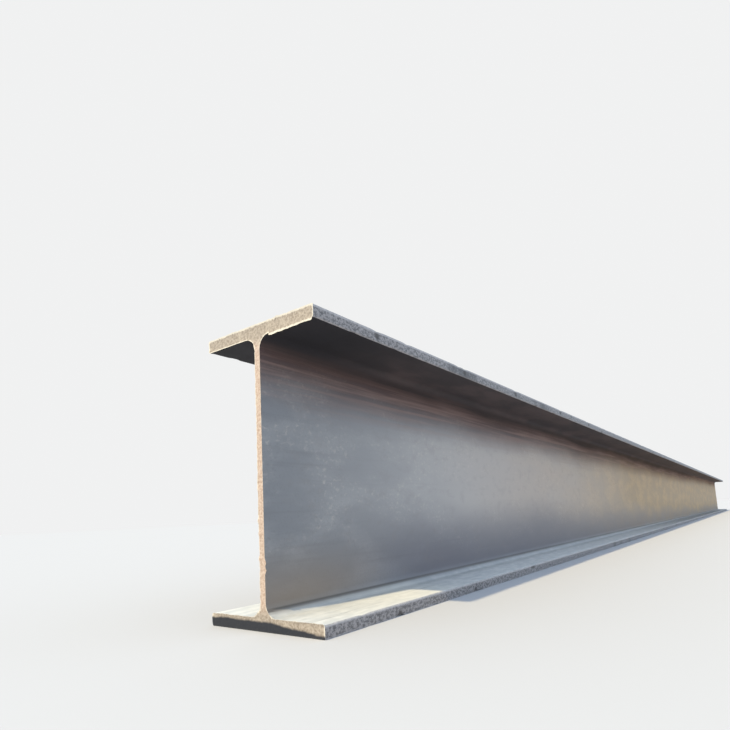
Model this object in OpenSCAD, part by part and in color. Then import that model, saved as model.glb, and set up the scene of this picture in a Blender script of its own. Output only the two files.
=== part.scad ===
// Hot-rolled wide-flange steel beam: an H section with parallel flanges, sawn or flame cut square to stock length.
// The defaults are the 590 x 300 mm section that weighs 178 kg a metre.
// The beam lies along X with its web upright. The origin is at the middle of its length, on the underside.

/* [Stock] */
// Length that the beam is cut to
beam_length = 12000; // [1000:100:18000]

/* [Section] */
// Depth over both flanges
section_depth = 590; // [290:5:1000]
// Width of each flange
flange_width = 300; // [200:5:400]
// Thickness of each flange
flange_thickness = 25; // [14:0.5:40]
// Thickness of the web
web_thickness = 13; // [8.5:0.5:21]

/* [Rolled corners] */
// Radius of the root fillet between web and flange
root_radius = 27; // [12:1:30]
// Radius of the rounded corner on the inner side of a flange tip
inner_toe_radius = 4; // [1:0.5:8]
// Radius of the corner on the outer side of a flange tip
outer_toe_radius = 1.5; // [0.5:0.5:4]

/* [Hidden] */
$fn = 64;
steel_colour = [0.43, 0.42, 0.43];
// What the cutting shapes reach past the steel
overrun = 1;
channel_depth = (flange_width - web_thickness) / 2;
channel_height = section_depth - 2 * flange_thickness;

// What a round corner takes off: its square less the quarter disc, with the corner at the origin and
// the steel towards +X and +Y.
module corner_waste(radius) {
    difference() {
        translate([-overrun, -overrun])
            square(radius + overrun);
        translate([radius, radius])
            circle(radius);
    }
}

// The open space on the +Y side of the web, with its two corners at the web rounded to the root radius.
module channel() {
    web_face = web_thickness / 2;
    translate([web_face + root_radius, flange_thickness])
        square([channel_depth - root_radius + overrun, channel_height]);
    translate([web_face, flange_thickness + root_radius])
        square([root_radius + overrun, channel_height - 2 * root_radius]);
    for (root_height = [flange_thickness + root_radius, section_depth - flange_thickness - root_radius])
        translate([web_face + root_radius, root_height])
            circle(root_radius);
}

// The rounded corners of the lower flange's tip on the +Y side.
module flange_tip_waste() {
    translate([flange_width / 2, 0])
        mirror([1, 0])
            corner_waste(outer_toe_radius);
    translate([flange_width / 2, flange_thickness])
        mirror([1, 0])
            mirror([0, 1])
                corner_waste(inner_toe_radius);
}

// Everything that the +Y side of the bounding rectangle loses.
module side_waste() {
    channel();
    flange_tip_waste();
    translate([0, section_depth])
        mirror([0, 1])
            flange_tip_waste();
}

// The rolled H section, with its underside on the first axis.
module section() {
    difference() {
        translate([-flange_width / 2, 0])
            square([flange_width, section_depth]);
        side_waste();
        mirror([1, 0])
            side_waste();
    }
}

// The beam: the section run along X, with both ends square.
module h_beam() {
    color(steel_colour)
        translate([-beam_length / 2, 0, 0])
            rotate([90, 0, 90])
                linear_extrude(height = beam_length)
                    section();
}

h_beam();
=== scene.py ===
# %% [markdown]
# # A rolled steel H beam
#
# A wide-flange beam is one piece of steel. Hot rollers squeeze a glowing bar into an H, the beam cools,
# and a torch or a saw cuts it to length. So there is one piece to model, and three finishes to make: the
# blue-grey scale that rolling leaves on the long faces, the rougher crust on the flange tips, and the
# bright cut ends.
#
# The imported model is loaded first. It fixes the size and place of everything that follows.

# %% Load the beam's frame
import math
import random

import bmesh
import bpy
from mathutils import Euler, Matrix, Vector


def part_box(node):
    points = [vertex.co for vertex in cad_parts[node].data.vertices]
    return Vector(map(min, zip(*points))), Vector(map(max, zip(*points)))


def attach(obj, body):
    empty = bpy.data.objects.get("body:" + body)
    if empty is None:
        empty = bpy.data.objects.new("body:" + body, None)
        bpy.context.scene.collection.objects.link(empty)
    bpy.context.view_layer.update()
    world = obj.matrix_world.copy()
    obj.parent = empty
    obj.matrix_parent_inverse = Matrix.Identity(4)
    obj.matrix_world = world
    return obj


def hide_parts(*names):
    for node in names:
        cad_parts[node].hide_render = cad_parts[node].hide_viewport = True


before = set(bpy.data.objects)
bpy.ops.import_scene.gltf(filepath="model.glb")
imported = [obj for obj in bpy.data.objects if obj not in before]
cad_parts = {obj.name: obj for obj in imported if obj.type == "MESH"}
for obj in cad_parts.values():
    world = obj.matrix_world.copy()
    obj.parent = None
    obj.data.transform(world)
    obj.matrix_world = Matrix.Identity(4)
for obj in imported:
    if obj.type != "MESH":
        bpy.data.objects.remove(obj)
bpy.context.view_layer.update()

# %% [markdown]
# ## Reading the section
#
# The section could be typed in again, but two sets of sizes soon disagree. The loaded mesh only has
# points on the section's outline, so each size is the place of a known point: the web's faces are the
# points nearest the middle plane, and the inner faces of the flanges are the innermost points well out
# from the web.

# %% Section sizes
low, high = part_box("h_beam")
length = high.x - low.x
width = high.y - low.y
depth = high.z - low.z
half_length = length / 2
tip = width / 2
hair = 0.00002

outline = [vertex.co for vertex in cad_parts["h_beam"].data.vertices]
lower = [point for point in outline if point.z < depth / 2]
web_face = min(abs(point.y) for point in outline)
flange = max(point.z for point in lower if abs(point.y) > width / 4)
root_radius = min(point.z for point in outline if abs(point.y) < web_face + hair) - flange
tip_heights = [point.z for point in lower if abs(point.y) > tip - hair]
outer_toe = min(tip_heights)
inner_toe = flange - max(tip_heights)
print("web face", round(web_face, 5), "flange", round(flange, 5), "root radius", round(root_radius, 5))
print("toes", round(outer_toe, 5), round(inner_toe, 5))

# %% [markdown]
# ## Choosing by place
#
# Every edit starts by choosing what it acts on. By hand that is a click. In a script it is a test on
# where a face or an edge lies and which way it points, which still works when a size changes. These
# helpers run such a test in edit mode and say how many parts they found.

# %% Helpers that choose faces and edges
def pick_faces(obj, test):
    """Selects the faces whose centre and normal pass the test."""
    bpy.ops.mesh.select_mode(type="FACE")
    bpy.ops.mesh.select_all(action="DESELECT")
    mesh = bmesh.from_edit_mesh(obj.data)
    found = [face for face in mesh.faces if test(face.calc_center_median(), face.normal)]
    for face in found:
        face.select_set(True)
    bmesh.update_edit_mesh(obj.data)
    return len(found)


def pick_long_edges(obj, least, test=lambda middle: True):
    """Selects the edges along X that are at least so long, and whose middle passes the test."""
    bpy.ops.mesh.select_mode(type="EDGE")
    bpy.ops.mesh.select_all(action="DESELECT")
    mesh = bmesh.from_edit_mesh(obj.data)
    count = 0
    for edge in mesh.edges:
        start, end = (vertex.co for vertex in edge.verts)
        if abs(end.x - start.x) >= least and test((start + end) / 2):
            edge.select_set(True)
            count += 1
    bmesh.update_edit_mesh(obj.data)
    return count


# %% [markdown]
# ## The web, then the flanges
#
# A section like this is often drawn flat and swept. Starting from the web instead follows how the shape
# works: the web is a tall plate, and each flange grows out of both sides of its edge. A box is made at
# the web's size, two cuts mark where the flanges begin, and the side faces of the outer strips are
# extruded to the tips.

# %% Web and flanges
bpy.ops.object.select_all(action="DESELECT")
bpy.ops.mesh.primitive_cube_add(size=1, location=(0, 0, depth / 2), scale=(length, 2 * web_face, depth))
beam = bpy.context.object
beam.name = "rolled_beam"
beam.data.name = "rolled_beam"
bpy.ops.object.transform_apply(location=True, rotation=True, scale=True)

bpy.ops.object.mode_set(mode="EDIT")
for height in (flange, depth - flange):
    bpy.ops.mesh.select_all(action="SELECT")
    bpy.ops.mesh.bisect(plane_co=(0, 0, height), plane_no=(0, 0, 1))


def beside_a_flange(centre):
    """Whether a point is at the height of either flange."""
    return centre.z < flange or centre.z > depth - flange


for side in (-1, 1):
    grown = pick_faces(beam, lambda centre, normal: normal.y * side > 0.9 and beside_a_flange(centre))
    bpy.ops.mesh.extrude_region_move(TRANSFORM_OT_translate={"value": (0, side * (tip - web_face), 0)})
    print("flange halves grown on side", side, ":", grown)
bpy.ops.mesh.select_all(action="SELECT")
bpy.ops.mesh.dissolve_limited(angle_limit=math.radians(1))

# %% [markdown]
# ## Roots and toes
#
# Rollers can't press a sharp inner corner, so the web flows into each flange in a round root. The tips
# are rounded a little too, more on the inner side. A bevel with an even profile gives a true arc on a
# right angle, inside or outside, and its offset is then the radius.

# %% Round the roots and the toes
def at_root(middle):
    """The four inner corners between web and flanges."""
    inner = min(abs(middle.z - flange), abs(middle.z - depth + flange))
    return abs(middle.y) < web_face + hair and inner < hair


def at_inner_toe(middle):
    """The four corners on the inner side of the tips."""
    inner = min(abs(middle.z - flange), abs(middle.z - depth + flange))
    return abs(middle.y) > tip - hair and inner < hair


def at_outer_toe(middle):
    """The four corners on the outer side of the tips."""
    return abs(middle.y) > tip - hair and min(middle.z, depth - middle.z) < hair


for corner, radius, segments in (
    (at_root, root_radius, 7),
    (at_inner_toe, inner_toe, 3),
    (at_outer_toe, outer_toe, 2),
):
    found = pick_long_edges(beam, length / 2, corner)
    bpy.ops.mesh.bevel(offset=radius, segments=segments, profile=0.5, affect="EDGES", clamp_overlap=False)
    print(corner.__name__, "edges rounded:", found)

# %% [markdown]
# ## Mesh where the wear goes
#
# Wear needs points to move. Along the beam the flange tips have small nicks, so each tip is cut once
# along its middle, and rings are cut all the way down the beam. Subdividing only the long edges makes
# such rings, and doing it twice gives a thousand of them in two steps. A few more rings sit close behind
# each torch cut.

# %% Rings along the beam
net = 0.004
rim_depth = 0.012
for height in (flange / 2, depth - flange / 2):
    on_the_net = net * round(height / net)
    bpy.ops.mesh.select_all(action="SELECT")
    bpy.ops.mesh.bisect(plane_co=(0, 0, on_the_net), plane_no=(0, 0, 1))

behind_the_cut = (0.0015, 0.003, 0.006, rim_depth)
for end in (-1, 1):
    for back in behind_the_cut:
        bpy.ops.mesh.select_all(action="SELECT")
        bpy.ops.mesh.bisect(plane_co=(end * (half_length - back), 0, 0), plane_no=(1, 0, 0))

cuts = 31
shortest_run = 0.1
for least in (length / 2, shortest_run):
    found = pick_long_edges(beam, least)
    bpy.ops.mesh.subdivide(number_cuts=cuts)
    print(found, "long edges, each cut into", cuts + 1)
ring_gap = (length - 2 * rim_depth) / (cuts + 1) ** 2
print("rings every", round(ring_gap * 1000, 1), "mm")

# %% [markdown]
# A torch leaves a ragged rim, so the last few millimetres and the cut face need a finer net. It is made
# with rows of straight cuts. The rest of the beam is hidden first, because an edit leaves hidden faces
# alone. Some of the net's points fall close to the section's own, so doubles are merged at the end.

# %% Net on the cut ends
rows = round(depth / net)
columns = round(tip / net)
merge_distance = 0.00005
found = pick_faces(beam, lambda centre, normal: abs(centre.x) > half_length - rim_depth)
print("faces close to the cuts", found)
bpy.ops.mesh.hide(unselected=True)
for row in range(1, rows):
    bpy.ops.mesh.select_all(action="SELECT")
    bpy.ops.mesh.bisect(plane_co=(0, 0, row * net), plane_no=(0, 0, 1))
for column in range(1 - columns, columns):
    bpy.ops.mesh.select_all(action="SELECT")
    bpy.ops.mesh.bisect(plane_co=(0, column * net + net / 2, 0), plane_no=(0, 1, 0))
bpy.ops.mesh.reveal(select=False)
bpy.ops.mesh.select_all(action="SELECT")
bpy.ops.mesh.remove_doubles(threshold=merge_distance)
bpy.ops.mesh.normals_make_consistent(inside=False)
bpy.ops.object.mode_set(mode="OBJECT")
print("faces in the beam", len(beam.data.polygons))

# %% [markdown]
# ## Which surface is which
#
# Three finishes meet on one piece, so the mesh keeps three material slots and each face is given to one
# by its place. This comes before any wear, while the faces are still where the section says.

# %% Give each face its surface
ROLLED, TIP, CUT = 0, 1, 2
counts = [0, 0, 0]
for face in beam.data.polygons:
    surface = ROLLED
    if abs(face.center.x) > half_length - hair:
        surface = CUT
    elif abs(face.center.y) > tip - outer_toe:
        surface = TIP
    face.material_index = surface
    counts[surface] += 1
print("rolled, tip and cut faces", counts)

# %% [markdown]
# ## Wear
#
# A torch leaves a thin lip and beads of slag where its flame came through, and chains and other beams
# nick the tips. Sculpting would do it once, for one size. Weights say where the wear is, and a Displace
# modifier moves the points by them, so the same few lines work at any size. A fixed seed keeps it the
# same each time.
#
# The rim comes first: the points where a lengthwise edge ends in a cut. The underside is kept clear of
# all growth, or the beam would sink into the floor it lies on.

# %% Where the rims are
seed = 590
chance = random.Random(seed)
points = beam.data.vertices


def from_end(point):
    """How far a point lies from the nearer cut end."""
    return half_length - abs(point.x)


def weigh(name, shares):
    """Makes a vertex group from a table of point numbers and weights."""
    group = beam.vertex_groups.new(name=name)
    for index, share in shares.items():
        group.add([index], min(share, 1.0), "REPLACE")
    print(name, "covers", len(shares), "points")


rim = set()
for edge in beam.data.edges:
    start, end = (points[index] for index in edge.vertices)
    if abs(from_end(start.co) - from_end(end.co)) > hair:
        rim.update(v.index for v in (start, end) if from_end(v.co) < hair)
clear = {v.index for v in points if v.co.z > outer_toe + hair}
weigh("torn_rim", {index: 1.0 for index in sorted(rim & clear)})
weigh("cut_face", {v.index: 1.0 for v in points if from_end(v.co) < hair and v.index not in rim})

# %% [markdown]
# Slag is less even than the rim. It hangs as a lip under one side of the upper flange, from the root out
# to the tip, and it sits in beads along the edges of the cut. Most beads are small and drawn at random.
# Two big ones hang on each end of the web, low down, where the cut slowed.

# %% Slag
def spots(centres, reach):
    """Weights that are 1 at each centre and fall to nothing at the reach."""
    near = {}
    for centre in centres:
        near.setdefault(round(centre.x), []).append(centre)
    shares = {}
    for vertex in points:
        for centre in near.get(round(vertex.co.x), ()):
            share = 1 - (vertex.co - centre).length / reach
            if share > 0:
                shares[vertex.index] = shares.get(vertex.index, 0) + share
    return shares


lip_reach = 0.005
lip_start = web_face + root_radius
lip = {}
for vertex in points:
    under = abs(vertex.co.z - depth + flange) < hair
    beyond = vertex.co.y * math.copysign(1, vertex.co.x) > lip_start
    share = 1 - from_end(vertex.co) / lip_reach
    if under and beyond and share > 0:
        lip[vertex.index] = share
weigh("slag_lip", lip)

small_bead, big_bead = 0.007, 0.008
small_bead_count = 36
big_bead_heights = (0.112, 0.126)
rim_list = sorted(rim & clear)
small_beads = [points[chance.choice(rim_list)].co.copy() for bead in range(small_bead_count)]
weigh("slag_beads", spots(small_beads, small_bead))
cut_places = (-half_length, half_length)
big_beads = [Vector((end, -web_face, height)) for end in cut_places for height in big_bead_heights]
weigh("big_beads", spots(big_beads, big_bead))

# %% [markdown]
# Nicks lie along the long edges of the tips, eight edges in all. A chain that has held the beam bites
# deeper and leaves a dark mark. A few such bites have their own places along one upper tip, and the rest
# are drawn at random. The tips as a whole also waver a little, as hot steel does when it leaves the
# rolls.

# %% Nicks, bites and wavy tips
nick_count, bite_count = 260, 40
nick_reach, bite_reach = 0.016, 0.018
tip_edges = [(across, height) for across in (-tip, tip) for height in (0, flange, depth - flange, depth)]


def places_on_tips(count):
    """Random places on the tips' long edges."""
    places = []
    for place in range(count):
        across, height = chance.choice(tip_edges)
        places.append(Vector((chance.uniform(-half_length, half_length), across, height)))
    return places


weigh("nicked", spots(places_on_tips(nick_count), nick_reach))
chain_marks = (0.20, 0.61, 0.98, 1.46, 1.89)
mark_height = depth - flange / 3
bites = [Vector((distance - half_length, -tip, mark_height)) for distance in chain_marks]
bite_shares = spots(bites + places_on_tips(bite_count), bite_reach)
weigh("bitten", bite_shares)
weigh("wavy_tips", {v.index: 1.0 for v in points if abs(v.co.y) > tip - hair and v.index in clear - rim})

# %% [markdown]
# Now the points are moved, one Displace modifier for each group. Growth is positive and loss is
# negative. With a cloudy texture the strength varies from place to place, and the middle level says how
# much of it goes the other way. Most wear follows the surface's own direction, but the lip hangs down
# and the big beads lean out.

# %% Move the worn points
def wear(group, strength, size=None, direction="NORMAL", middle=0.5):
    """Moves a group's points by at most the strength, evenly or by a cloudy pattern of the size given."""
    change = beam.modifiers.new(group, "DISPLACE")
    change.vertex_group = group
    change.strength = strength
    change.direction = direction
    change.texture_coords = "LOCAL"
    change.mid_level = 0
    if size:
        pattern = bpy.data.textures.new(group, "CLOUDS")
        pattern.noise_scale = size
        pattern.noise_depth = 2
        change.texture = pattern
        change.mid_level = middle
    bpy.ops.object.modifier_apply(modifier=group)


bpy.context.view_layer.objects.active = beam
wear("torn_rim", 0.0030, size=0.010, middle=0.15)
wear("cut_face", 0.0012, size=0.010, direction="X")
wear("slag_lip", -0.0085, size=0.020, direction="Z", middle=0.0)
wear("slag_beads", 0.0016)
wear("big_beads", -0.0040, direction="Y")
wear("nicked", -0.0020)
wear("bitten", -0.0030)
wear("wavy_tips", 0.0012, size=0.05)
proud = [max(v.co[axis] for v in points) - high[axis] for axis in range(3)]
print("the wear stands proud of the stock by", [round(1000 * value, 2) for value in proud], "mm")

# %% [markdown]
# The long faces should look smooth across the roots and toes, and crisp at the cuts. Smoothing by angle
# does both, but it also bends the light on the wide flat faces beside each small arc. The Weighted
# Normal modifier mends that: it lets the largest face at each point decide which way the surface seems
# to face.

# %% Smooth the long faces
crisp_angle = math.radians(35)
bpy.ops.object.select_all(action="DESELECT")
beam.select_set(True)
bpy.ops.object.shade_smooth_by_angle(angle=crisp_angle)
even = beam.modifiers.new("flat_faces_stay_flat", "WEIGHTED_NORMAL")
even.weight = 100
even.keep_sharp = True
bpy.ops.object.modifier_apply(modifier=even.name)
print("smoothed", sum(face.use_smooth for face in beam.data.polygons), "faces")

# %% [markdown]
# The finishes will need to know where the rim and the bites are, to make one pale and the other dark. A
# value kept at each point does that. It moves with the mesh, and a material reads it by its name.

# %% Remember the rims and the bites
def mark(name, shares):
    """Keeps a value for each point, which a material can read by its name."""
    values = beam.data.attributes.new(name, "FLOAT", "POINT").data
    for vertex in points:
        values[vertex.index].value = min(shares.get(vertex.index, 0.0), 1.0)
    print(name, "is set on", len(shares), "points")


mark("rim_mark", dict.fromkeys(rim, 1.0))
mark("bite_mark", bite_shares)

# %% [markdown]
# ## Building finishes
#
# A finish is a chain of small steps: a pattern, a limit that turns the pattern into a mask, and a coat
# laid on by that mask. A few helpers name those steps, so that each finish below reads as a recipe. All
# patterns are placed in the object's own coordinates, in metres, and so stay on the steel from every
# side. The first helpers add nodes and do sums with them.

# %% Helpers for nodes and sums
def add(tree, kind, settings=None, sockets=None):
    """Adds a node, sets its options, and fills its sockets with values or with links."""
    node = tree.nodes.new(kind)
    for name, value in (settings or {}).items():
        setattr(node, name, value)
    for name, value in (sockets or {}).items():
        if isinstance(value, bpy.types.NodeSocket):
            tree.links.new(value, node.inputs[name])
        else:
            node.inputs[name].default_value = value
    return node


def maths(tree, operation, first, second=0.0):
    """One sum on two values."""
    return add(tree, "ShaderNodeMath", {"operation": operation}, {0: first, 1: second}).outputs[0]


def total(tree, first, *others):
    """Values added together."""
    for other in others:
        first = maths(tree, "ADD", first, other)
    return first


def product(tree, first, *others):
    """Values multiplied together."""
    for other in others:
        first = maths(tree, "MULTIPLY", first, other)
    return first


# %% [markdown]
# Three more helpers do the painting. One turns any value into a mask, one lays a coat through such
# masks, and one makes the clouds that nearly all the patterns come from. Steel is rolled one way, so the
# clouds can be drawn out along the beam.

# %% Helpers for masks, coats and clouds
def fade(tree, value, start, end):
    """A mask that goes smoothly from 0 at the start to 1 at the end."""
    limits = {"Value": value, "From Min": start, "From Max": end}
    return add(tree, "ShaderNodeMapRange", {"interpolation_type": "SMOOTHSTEP"}, limits).outputs["Result"]


def lay(tree, colour, coat, *masks):
    """Lays a coat over a colour, as thick as its masks multiplied together."""
    thickness = product(tree, *masks)
    return add(tree, "ShaderNodeMix", {"data_type": "RGBA"}, {0: thickness, 6: colour, 7: coat}).outputs[2]


def cloud(tree, place, size, detail=4.0, stretch=(1, 1, 1), rough=0.55):
    """Cloudy noise with patches of about that size, drawn out along an axis where stretch is over 1."""
    scale = [1 / factor for factor in stretch]
    drawn = add(tree, "ShaderNodeVectorMath", {"operation": "MULTIPLY"}, {0: place, 1: scale}).outputs[0]
    look = {"Vector": drawn, "Scale": 1 / size, "Detail": detail, "Roughness": rough}
    return add(tree, "ShaderNodeTexNoise", None, look).outputs["Fac"]


# %% [markdown]
# Every finish starts the same way: a new material, its shader, and the place on the beam as one vector
# and as three separate axes. Its relief and colour are plugged in last. Colours are given in linear
# light, as the nodes want them.

# %% Helpers that start and end a finish
def start_finish(name):
    """A new material with its shader, its object coordinates and those coordinates split into axes."""
    made = bpy.data.materials.new(name)
    made.use_nodes = True
    tree = made.node_tree
    shader = tree.nodes["Principled BSDF"]
    place = add(tree, "ShaderNodeTexCoord").outputs["Object"]
    axes = add(tree, "ShaderNodeSeparateXYZ", None, {0: place}).outputs
    return made, tree, shader, place, axes


def end_finish(tree, shader, colour, height, strength, reach):
    """Plugs in the colour, and a relief that turns a pattern's height into slopes."""
    slopes = {"Strength": strength, "Distance": reach, "Height": height}
    relief = add(tree, "ShaderNodeBump", None, slopes).outputs[0]
    tree.links.new(colour, shader.inputs["Base Color"])
    tree.links.new(relief, shader.inputs["Normal"])


def rgb(red, green, blue):
    """A colour in linear light, with full alpha."""
    return (red, green, blue, 1.0)


# %% [markdown]
# ## Mill scale
#
# Rolled steel cools in air and grows a thin skin of iron oxide. It is blue-grey, a little glossy, and
# clouded where water, dust and handling have dulled it. One noise would look like camouflage, so the
# colour is built in the order it happened, and each of the next cells adds one coat. The first is the
# skin, with patches and faint streaks drawn out along the rolling direction.

# %% Skin
rolled, tree, shader, place, axes = start_finish("mill_scale")

# The two sides of the web get different patches, by shifting one side's pattern along the beam.
shift_between_sides = 7.3
side_shift = product(tree, maths(tree, "GREATER_THAN", axes["Y"], 0.0), shift_between_sides)
shifted = {"X": total(tree, axes["X"], side_shift), "Y": axes["Y"], "Z": axes["Z"]}
spot = add(tree, "ShaderNodeCombineXYZ", None, shifted).outputs[0]

broad = cloud(tree, spot, size=0.45, stretch=(3, 1, 1))
patches = cloud(tree, spot, size=0.10, detail=6, stretch=(2.5, 1, 1))
mottle = cloud(tree, spot, size=0.022, detail=5, stretch=(1.8, 1, 1))
streaks = cloud(tree, spot, size=0.012, stretch=(30, 1, 1))
grain = cloud(tree, spot, size=0.004)

skin_blue = rgb(0.165, 0.169, 0.186)
skin_pale = rgb(0.262, 0.262, 0.274)
skin_dark = rgb(0.120, 0.116, 0.130)
colour = lay(tree, skin_blue, skin_pale, fade(tree, patches, 0.40, 0.72))
colour = lay(tree, colour, skin_dark, fade(tree, streaks, 0.52, 0.80), 0.35)
colour = lay(tree, colour, skin_dark, fade(tree, grain, 0.52, 0.72), 0.30)
print("the skin takes", len(tree.nodes), "nodes")

# %% [markdown]
# Next come the coats on the web. Its middle is lighter: a painted sheen that stands in for the sky and
# ground the glossy scale reflects, and it is warmer further down the beam. Its foot is dark and a little
# purple, painted shade where the web meets the lower flange. Close to each cut the foot turns brown, a
# painted warm bounce of light from the lit lower flange. Each is a mask by height or length, with a broad
# noise added to the height first, so that no border is a ruled line.

# %% Web: painted sheen, painted shade at the foot, painted bounce near the cuts
def drift(tree, pattern, amount):
    """Makes a pattern swing about nothing, to push a border up and down."""
    return product(tree, maths(tree, "SUBTRACT", pattern, 0.5), amount)


normal = add(tree, "ShaderNodeNewGeometry").outputs["Normal"]
facing = add(tree, "ShaderNodeSeparateXYZ", None, {0: normal}).outputs
on_web = fade(tree, maths(tree, "ABSOLUTE", facing["Y"]), 0.35, 0.90)
from_near_end = total(tree, axes["X"], half_length)
to_end = maths(tree, "SUBTRACT", half_length, maths(tree, "ABSOLUTE", axes["X"]))

foot_low, foot_high = 0.05, 0.27
root_low, root_high = 0.38, 0.53
ragged_height = total(tree, axes["Z"], drift(tree, broad, 0.14))
off_foot = fade(tree, ragged_height, foot_low, foot_high)
off_root = fade(tree, ragged_height, root_high, root_low)

# The sheen tones are a painted reflection of sky and ground on the glossy scale, warmer further down the
# beam.
sheen_near_tone = rgb(0.475, 0.445, 0.438)
sheen_far_tone = rgb(0.480, 0.395, 0.345)
painted_sheen = lay(tree, sheen_near_tone, sheen_far_tone, fade(tree, from_near_end, 0.3, 1.6))
sheen_with_distance = fade(tree, from_near_end, -0.2, 1.0)
colour = lay(tree, colour, painted_sheen, off_foot, off_root, on_web, sheen_with_distance, 0.75)

# The dark purple foot is painted shade, where the web meets the lower flange.
painted_foot_shade = rgb(0.130, 0.118, 0.142)
shaded_foot = maths(tree, "SUBTRACT", 1.0, off_foot)
off_the_cut = fade(tree, from_near_end, 0.0, 0.7)
colour = lay(tree, colour, painted_foot_shade, shaded_foot, on_web, off_the_cut, 0.75)

# The brown near each cut is a painted warm bounce of light from the lit lower flange.
bounce_warm_tone = rgb(0.235, 0.170, 0.115)
painted_warm_bounce = product(tree, fade(tree, to_end, 0.45, 0.05), fade(tree, ragged_height, 0.18, 0.04))
colour = lay(tree, colour, bounce_warm_tone, painted_warm_bounce, on_web, 0.60)
print("with the web's tones it takes", len(tree.nodes), "nodes")

# %% [markdown]
# A tan tone grows along the web's length. It is a painted reflection: far down the beam the glossy scale
# is seen at a grazing angle and mirrors the warm ground, and the tan stands in for that. It is thin enough
# for the clouds below to show, so its own tone follows the patches. Then small flecks and faint clouds
# break up the web, pale where the scale is scuffed and darker where it is whole. Without them a long plain
# wall of steel looks like paint.

# %% Web: painted tan reflection and flecks
# The tan is a painted reflection of the warm ground, growing with distance down the beam.
painted_reflection = product(tree, fade(tree, from_near_end, 0.8, 5.5), total(tree, off_foot, 0.50))
cloudy = total(tree, 0.75, product(tree, broad, 0.4))
painted_reflection = product(tree, maths(tree, "MINIMUM", painted_reflection, 1.0), on_web, cloudy)
painted_reflection = maths(tree, "MINIMUM", painted_reflection, 0.9)
reflected_tan_dark = rgb(0.375, 0.268, 0.160)
reflected_tan_light = rgb(0.472, 0.324, 0.180)
reflected_tan = lay(tree, reflected_tan_dark, reflected_tan_light, fade(tree, patches, 0.38, 0.66))
colour = lay(tree, colour, reflected_tan, painted_reflection)

scuff_pale = rgb(0.580, 0.510, 0.450)
fine_flecks = cloud(tree, spot, size=0.009, detail=5, stretch=(1.5, 1, 1), rough=0.65)
scuffed = product(tree, fade(tree, fine_flecks, 0.52, 0.70), fade(tree, patches, 0.44, 0.60))
colour = lay(tree, colour, scuff_pale, scuffed, on_web, off_foot, 0.30)

whole_dark = rgb(0.200, 0.175, 0.170)
clouded = fade(tree, mottle, 0.50, 0.30)
colour = lay(tree, colour, whole_dark, clouded, on_web, 0.16)
print("with the film and flecks it takes", len(tree.nodes), "nodes")

# %% [markdown]
# Water hangs in the upper root and dries there last, so the web rusts just under the flange. The rust has
# run out along the beam in fine lines, red-brown lower down, and the band gets narrower towards the far
# end. In the root itself it turns nearly black: rust, with painted shade from the flange's overhang on top
# of it. Dirt lodges in the lower root and draws a thin dark line there.

# %% Rust and painted shade in the upper root, dirt in the lower root
def to_nearest(tree, value, *places):
    """How far a value is from the nearest of some places."""
    gaps = [maths(tree, "ABSOLUTE", maths(tree, "SUBTRACT", value, place)) for place in places]
    nearest = gaps[0]
    for gap in gaps[1:]:
        nearest = maths(tree, "MINIMUM", nearest, gap)
    return nearest


rust_lines = cloud(tree, spot, size=0.010, detail=5, stretch=(45, 1, 1), rough=0.6)
rust_height = total(tree, axes["Z"], drift(tree, rust_lines, 0.06), drift(tree, broad, 0.10))
narrower = product(tree, fade(tree, from_near_end, 5.0, 11.0), 0.035)
rust_height = maths(tree, "SUBTRACT", rust_height, narrower)

flange_underside = depth - flange
rust_foot, rust_full = flange_underside - 0.165, flange_underside - 0.025
rusted = fade(tree, rust_height, rust_foot, rust_full)
rusted = product(tree, rusted, maths(tree, "LESS_THAN", axes["Z"], depth - flange / 2))
rust_dark = rgb(0.070, 0.029, 0.023)
rust_light = rgb(0.225, 0.134, 0.112)
rust = lay(tree, rust_dark, rust_light, fade(tree, rust_lines, 0.36, 0.66))

# The near-black in the root is rust with painted shade from the flange's overhang.
root_rust_and_shade = rgb(0.022, 0.008, 0.007)
root_start = flange_underside - root_radius
in_shaded_root = fade(tree, rust_height, root_start - 0.025, root_start + 0.015)
rust = lay(tree, rust, root_rust_and_shade, in_shaded_root)
colour = lay(tree, colour, rust, rusted, 0.90)

dirt_brown = rgb(0.058, 0.048, 0.042)
dirt_line = flange + 0.48 * root_radius
to_dirt = to_nearest(tree, axes["Z"], dirt_line)
colour = lay(tree, colour, dirt_brown, fade(tree, to_dirt, 0.0048, 0.0012), 0.75)
print("with rust and dirt it takes", len(tree.nodes), "nodes")

# %% [markdown]
# The underside of the upper flange never sees the sun, and its nearly black colour is painted shade. It is
# bluer and blackest near the ends, more painted shade, and a little browner far down the beam. The mask is
# the surface's own direction: it faces down.

# %% Painted shade on the underside
# The nearly black underside is painted shade, blackest near the ends.
shaded_underside = fade(tree, facing["Z"], -0.35, -0.90)
under_shade_dark = rgb(0.052, 0.042, 0.046)
under_shade_light = rgb(0.096, 0.072, 0.073)
under_shade_brown = rgb(0.125, 0.082, 0.060)
end_shade_black = rgb(0.013, 0.013, 0.018)
under = lay(tree, under_shade_dark, under_shade_light, fade(tree, patches, 0.40, 0.65))
under = lay(tree, under, under_shade_brown, fade(tree, from_near_end, 1.5, 6.0), 0.45)
under = lay(tree, under, end_shade_black, fade(tree, to_end, 0.5, 0.1), 0.9)
colour = lay(tree, colour, under, shaded_underside, 0.95)
print("with the underside it takes", len(tree.nodes), "nodes")

# %% [markdown]
# Last comes the pale dust on the faces that look up. It lies thickest on the lower flange, where the rain
# doesn't reach it, and is thinner close to the web, which paints the shade in the corner by the root.
# Close to the near cut its tone is warmer, painted sunlight where the lit patch lies. It thins out with
# distance from there, and is scuffed in fine lines along the beam. Rain has washed most of it off the top.

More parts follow.
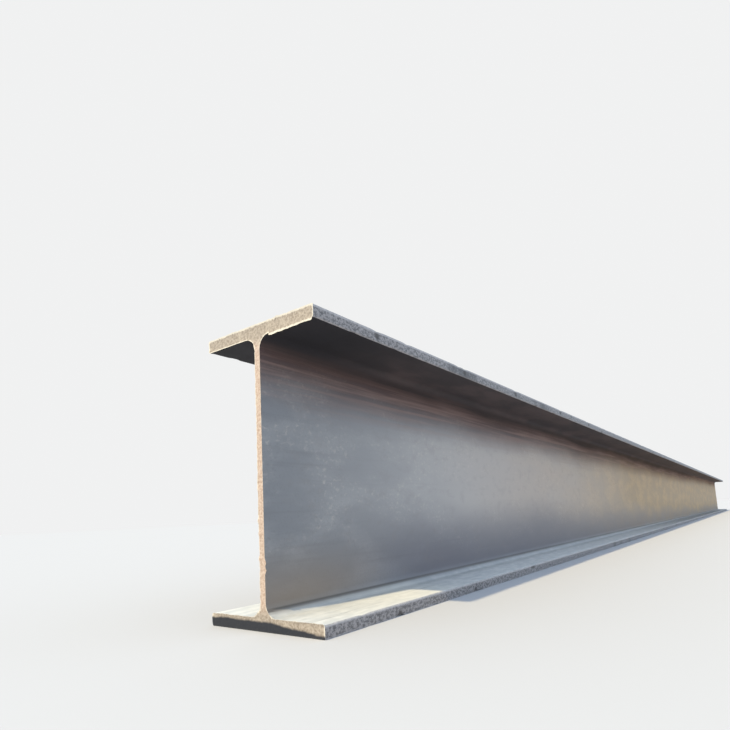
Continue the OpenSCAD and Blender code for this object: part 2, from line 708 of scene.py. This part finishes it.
# %% Dust, with painted sunlight near the cut and painted shade by the root
looks_up = fade(tree, facing["Z"], 0.45, 0.95)
scuffs = product(tree, fade(tree, streaks, 0.56, 0.74), 0.30)
thinner = product(tree, fade(tree, from_near_end, 0.8, 7.0), 0.92)
cover = maths(tree, "SUBTRACT", maths(tree, "SUBTRACT", 0.97, scuffs), thinner)

# Less dust close to the web paints the shade in the corner by the root.
root_edge = web_face + root_radius - 0.010
off_web = fade(tree, maths(tree, "ABSOLUTE", axes["Y"]), root_edge, tip / 2)
root_shade_thinning = total(tree, 0.75, product(tree, off_web, 0.25))
washed = product(tree, maths(tree, "GREATER_THAN", axes["Z"], depth / 2), 0.60)
kept_and_root_shade = product(tree, root_shade_thinning, maths(tree, "SUBTRACT", 1.0, washed))
dust_and_root_shade = product(tree, looks_up, cover, kept_and_root_shade)

dust_thin = rgb(0.515, 0.525, 0.550)
dust_thick = rgb(0.635, 0.632, 0.645)
# The warm tone near the cut is painted sunlight, where the lit patch lies.
painted_sun_warmth = rgb(0.725, 0.690, 0.620)
dust_and_sun_tone = lay(tree, dust_thin, dust_thick, fade(tree, mottle, 0.38, 0.66))
sunlit_patch = product(tree, fade(tree, from_near_end, 0.60, 0.35), fade(tree, from_near_end, -0.15, 0.35))
dust_and_sun_tone = lay(tree, dust_and_sun_tone, painted_sun_warmth, sunlit_patch, 0.45)
colour = lay(tree, colour, dust_and_sun_tone, dust_and_root_shade)
print("with the dust it takes", len(tree.nodes), "nodes")

# %% [markdown]
# Colour alone doesn't make steel. Whole scale is half glossy, and wear, dust and rust each dull it, rust
# the most. The same streaks and grain that tint the skin also raise it by a hair, so light catches them
# together.

# %% Gloss and small relief of the scale
whole_roughness = 0.48
worn = product(tree, fade(tree, patches, 0.30, 0.75), 0.15)
dulled = product(tree, maths(tree, "MAXIMUM", dust_and_root_shade, painted_reflection), 0.20)
roughness = total(tree, whole_roughness, worn, dulled, product(tree, rusted, 0.35))
tree.links.new(roughness, shader.inputs["Roughness"])
shader.inputs["Metallic"].default_value = 0.15
shader.inputs["IOR"].default_value = 1.5
ripple = total(tree, product(tree, streaks, 0.6), product(tree, grain, 0.4))
end_finish(tree, shader, colour, ripple, strength=0.30, reach=0.0010)
print(rolled.name, "has", len(tree.nodes), "nodes")

# %% [markdown]
# ## Flange tips
#
# The tips are squeezed by the edging rolls, which leaves a thick, crazed crust: grey with dark flecks and,
# here and there, a dark mark where a chain has bitten. A thin pale line runs along each long edge,
# stronger along the upper ones: a painted highlight where the edge catches the light. Each line is a mask
# on the distance to that edge.

# %% Crust on the flange tips
crust, tree, shader, place, axes = start_finish("tip_crust")
flecks = cloud(tree, place, size=0.006, detail=6, stretch=(1.4, 1, 1), rough=0.72)
clots = cloud(tree, place, size=0.09, detail=5, stretch=(1.8, 1, 2))
crust_dark = rgb(0.115, 0.109, 0.116)
crust_light = rgb(0.300, 0.278, 0.286)
clot_dark = rgb(0.078, 0.074, 0.080)
colour = lay(tree, crust_dark, crust_light, fade(tree, flecks, 0.42, 0.56))
colour = lay(tree, colour, clot_dark, fade(tree, clots, 0.56, 0.70), 0.75)

bite_dark = rgb(0.050, 0.042, 0.040)
bite = add(tree, "ShaderNodeAttribute", {"attribute_name": "bite_mark"}).outputs["Fac"]
bite = fade(tree, total(tree, bite, product(tree, flecks, 0.3)), 0.35, 0.75)
colour = lay(tree, colour, bite_dark, bite, 0.85)

# The pale lines along the tip edges are painted highlights.
painted_edge_highlight = rgb(0.600, 0.570, 0.590)
uneven = product(tree, flecks, 0.004)
to_upper = total(tree, to_nearest(tree, axes["Z"], flange, depth), uneven)
to_lower = total(tree, to_nearest(tree, axes["Z"], 0.0, depth - flange), uneven)
upper_highlight = product(tree, fade(tree, to_upper, 0.0085, 0.0050), 0.45)
lower_highlight = product(tree, fade(tree, to_lower, 0.0050, 0.0030), 0.25)
colour = lay(tree, colour, painted_edge_highlight, maths(tree, "MAXIMUM", upper_highlight, lower_highlight))
shader.inputs["Roughness"].default_value = 0.62
shader.inputs["Metallic"].default_value = 0.15
end_finish(tree, shader, colour, flecks, strength=0.8, reach=0.0015)
print(crust.name, "has", len(tree.nodes), "nodes")

# %% [markdown]
# ## Cut ends
#
# A torch-cut face is bright at first and soon turns a sandy tan, pinker on the thin web, which got hotter.
# The lip around the rim is rubbed nearly white. A painted shadow darkens the lowest part of each cut,
# higher on one side than on the other, so its border is a slanting line: the height less a share of the
# distance across. The same mask takes the shine away, so the painted shadow stays dark.

# %% Speckle, pale lip and painted shadow on the cut ends
cut, tree, shader, place, axes = start_finish("torch_cut")
from_middle = to_nearest(tree, axes["Z"], depth / 2)
in_flange = fade(tree, from_middle, depth / 2 - flange - root_radius, depth / 2 - flange)
speckle = cloud(tree, place, size=0.005, detail=5, rough=0.65)
blotch = cloud(tree, place, size=0.030, detail=5)
speckled = fade(tree, speckle, 0.36, 0.62)
pink_dark, pink_light = rgb(0.410, 0.288, 0.222), rgb(0.570, 0.447, 0.370)
sand_dark, sand_light = rgb(0.262, 0.211, 0.168), rgb(0.428, 0.359, 0.296)
web_tone = lay(tree, pink_dark, pink_light, speckled)
flange_tone = lay(tree, sand_dark, sand_light, speckled)
blotch_pale = rgb(0.620, 0.540, 0.440)
colour = lay(tree, web_tone, flange_tone, in_flange)
colour = lay(tree, colour, blotch_pale, fade(tree, blotch, 0.52, 0.75), 0.4)

lip_pale = rgb(0.740, 0.680, 0.590)
lip_mark = add(tree, "ShaderNodeAttribute", {"attribute_name": "rim_mark"}).outputs["Fac"]
on_lip = fade(tree, total(tree, lip_mark, drift(tree, speckle, 0.8)), 0.30, 0.75)
colour = lay(tree, colour, lip_pale, on_lip, 0.8)

# The dark slate band is a painted shadow on the lowest part of each cut end.
painted_shadow_slate = rgb(0.033, 0.037, 0.048)
shadow_high, shadow_low = 0.0255, 0.0200
shadow_slope = 0.085
slant = maths(tree, "MINIMUM", product(tree, axes["Y"], shadow_slope), 0.0)
shadow_height = maths(tree, "SUBTRACT", total(tree, axes["Z"], product(tree, blotch, 0.008)), slant)
painted_shadow = product(tree, fade(tree, shadow_height, shadow_high, shadow_low), 0.97)
colour = lay(tree, colour, painted_shadow_slate, painted_shadow)
whole_shine = 0.5
shine = product(tree, maths(tree, "SUBTRACT", 1.0, painted_shadow), whole_shine)
tree.links.new(shine, shader.inputs["Specular IOR Level"])
print("the cut ends' coats take", len(tree.nodes), "nodes")

# %% [markdown]
# The flame leaves fine drag lines that follow it through the thickness: across the web, and up and down
# in the flanges. Two stretched noises make them, and a mask by height picks the one that fits the place.

# %% Drag lines on the cut ends
line_width = 0.0016
web_lines = cloud(tree, place, line_width, detail=2, stretch=(8, 12, 1))
flange_lines = cloud(tree, place, line_width, detail=2, stretch=(8, 1, 12))
lines = add(tree, "ShaderNodeMix", {"data_type": "FLOAT"}, {0: in_flange, 2: web_lines, 3: flange_lines})
drag = total(tree, lines.outputs[0], speckle)
shader.inputs["Roughness"].default_value = 0.55
shader.inputs["Metallic"].default_value = 0.10
end_finish(tree, shader, colour, drag, strength=0.35, reach=0.0010)
print(cut.name, "has", len(tree.nodes), "nodes")

# %% [markdown]
# The finishes go on in the order of the surface numbers that the faces were given. Then the beam rides on
# the only body of the imported model, and the plain solid whose sizes it took is hidden.

# %% Put the finishes on the beam
for finish in (rolled, crust, cut):
    beam.data.materials.append(finish)
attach(beam, "root")
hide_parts("h_beam")
print(beam.name, "wears", [finish.name for finish in beam.data.materials])

# %% [markdown]
# ## Floor, light and camera
#
# The beam lies on a plain pale floor. A plane would do, but its edge would show behind so long a thing,
# so the floor is a disc that runs out to where the eye takes it for the horizon. It is dull all over.

# %% Floor
floor_radius = 400
floor_sides = 96
bpy.ops.object.select_all(action="DESELECT")
bpy.ops.mesh.primitive_circle_add(
    vertices=floor_sides, radius=floor_radius, fill_type="NGON", location=(0, 0, 0)
)
floor = bpy.context.object
floor.name = "floor"
ground, tree, shader, place, axes = start_finish("pale_floor")
shader.inputs["Base Color"].default_value = rgb(0.455, 0.455, 0.495)
shader.inputs["Roughness"].default_value = 1.0
shader.inputs["Specular IOR Level"].default_value = 0.0
floor.data.materials.append(ground)
print("the floor reaches", floor_radius, "m")

# %% [markdown]
# A pale sky fills the shadows from all sides. The sky that lights the steel is a little blue, as it is
# on a clear day, while the backdrop that the camera sees directly has the floor's own tone. The Light
# Path node tells the two apart.

# %% Sky
sky = bpy.data.worlds.new("pale_sky")
bpy.context.scene.world = sky
sky.use_nodes = True
tree = sky.node_tree
clear_blue = rgb(0.71, 0.86, 1.00)
pale_grey = rgb(0.875, 0.880, 0.882)
fill = tree.nodes["Background"]
fill.inputs["Color"].default_value = clear_blue
fill.inputs["Strength"].default_value = 1.30
backdrop = add(tree, "ShaderNodeBackground", None, {"Color": pale_grey, "Strength": 1.0})
seen = add(tree, "ShaderNodeLightPath").outputs["Is Camera Ray"]
choice = add(tree, "ShaderNodeMixShader", None, {0: seen, 1: fill.outputs[0], 2: backdrop.outputs[0]})
tree.links.new(choice.outputs[0], tree.nodes["World Output"].inputs["Surface"])
print("the sky fills at strength", round(fill.inputs["Strength"].default_value, 2))

# %% [markdown]
# One warm lamp is the key light. It stands behind the near end and to the left, so it brightens the cut
# face and reaches in under the top flange for a short way. A sun lamp has no place, only a direction, so
# its direction is given as the way its light travels and turned into a rotation.

# %% Key light
lamp_place = (-half_length - 2, 1, 4)
bpy.ops.object.light_add(type="SUN", location=lamp_place)
key = bpy.context.object
key.name = "key_light"
key.data.energy = 4.0
key.data.color = (1.00, 0.84, 0.51)
key.data.angle = math.radians(1.5)
travel = Vector((0.77, -0.10, -1.0))
key.rotation_euler = travel.to_track_quat("-Z", "Y").to_euler()
print("the key light falls", round(math.degrees(travel.angle(Vector((0, 0, -1))))), "degrees off plumb")

# %% [markdown]
# The camera stands low and close beside the near end and looks along the web, so the beam runs away to a
# point. A wide lens gives that steep depth. The heading is turned from the beam's own direction, the
# tilt is upwards, and the slight roll is the lean of a camera held by hand. The lens is shifted as well,
# which slides the frame up over the view without tilting it any further.

# %% Camera
back, aside, eye_height = 0.6832, 0.7614, 0.2006
camera_place = Vector((-half_length - back, -aside, eye_height))
heading, tilt, roll = math.radians(36.72), math.radians(7.02), math.radians(-2.79)
bpy.ops.object.camera_add(location=camera_place)
camera = bpy.context.object
camera.name = "camera"
aim = Euler((math.pi / 2 + tilt, 0, heading - math.pi / 2)).to_quaternion()
camera.rotation_mode = "QUATERNION"
camera.rotation_quaternion = aim @ Euler((0, 0, roll)).to_quaternion()
camera.data.lens = 25.99
camera.data.sensor_width = 36
camera.data.shift_y = 0.12
camera.data.clip_start = 0.05
camera.data.clip_end = 2000
bpy.context.scene.camera = camera
bpy.context.scene.view_settings.view_transform = "Standard"
near_tip = Vector((-half_length, -tip, flange))
print("the camera is", round((camera_place - near_tip).length, 2), "m from the near tip")

# %% [markdown]
# ## Finish
#
# Torn rims, slag and wavy tips may stand proud of the stock by two or three millimetres, and nothing else
# should. The last line brings the scene up to date.

# %% Finish
bpy.context.view_layer.update()
